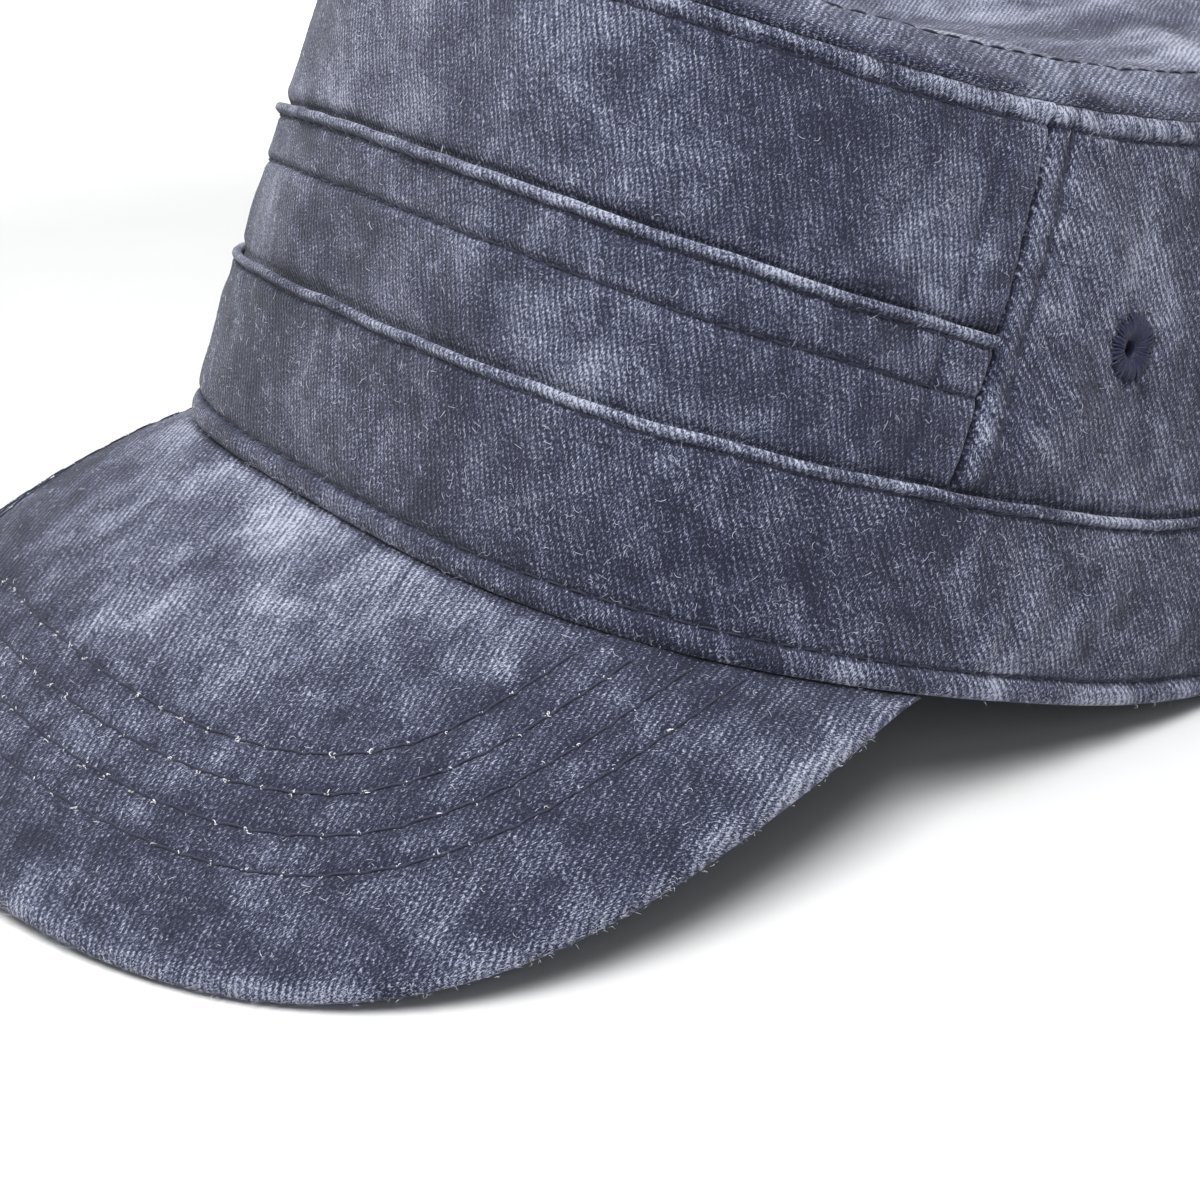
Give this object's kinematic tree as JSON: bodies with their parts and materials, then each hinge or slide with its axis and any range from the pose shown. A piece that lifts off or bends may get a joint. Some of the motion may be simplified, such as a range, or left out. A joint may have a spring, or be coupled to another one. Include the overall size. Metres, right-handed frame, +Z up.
{
  "type": "cadet cap",
  "caption": "Soft cotton cadet cap: flat oval top, upright crown with a folded tuck across the front, lapped hat band, curved stitched peak and a sewn eyelet on each side.",
  "frame": {"origin": "on the level surface that the cap rests on, in the middle of its length and width", "axes": "+X to the wearer's left, +Y to the back of the cap, +Z up; the peak points along -Y"},
  "size_m": [0.1766, 0.2682, 0.1183],
  "materials": {
    "washed_twill": "garment-washed navy cotton twill, cloudy, with pale worn seams and edges",
    "eyelet_thread": "darker navy embroidery thread with a slight sheen"
  },
  "bodies": {
    "root": {"top_panel": "washed_twill", "front_upper_panel": "washed_twill", "front_lower_panel": "washed_twill", "side_panel_left": "washed_twill", "side_panel_right": "washed_twill", "hat_band": "washed_twill", "peak": "washed_twill", "eyelet_left": "eyelet_thread", "eyelet_right": "eyelet_thread"}
  },
  "joints": []
}
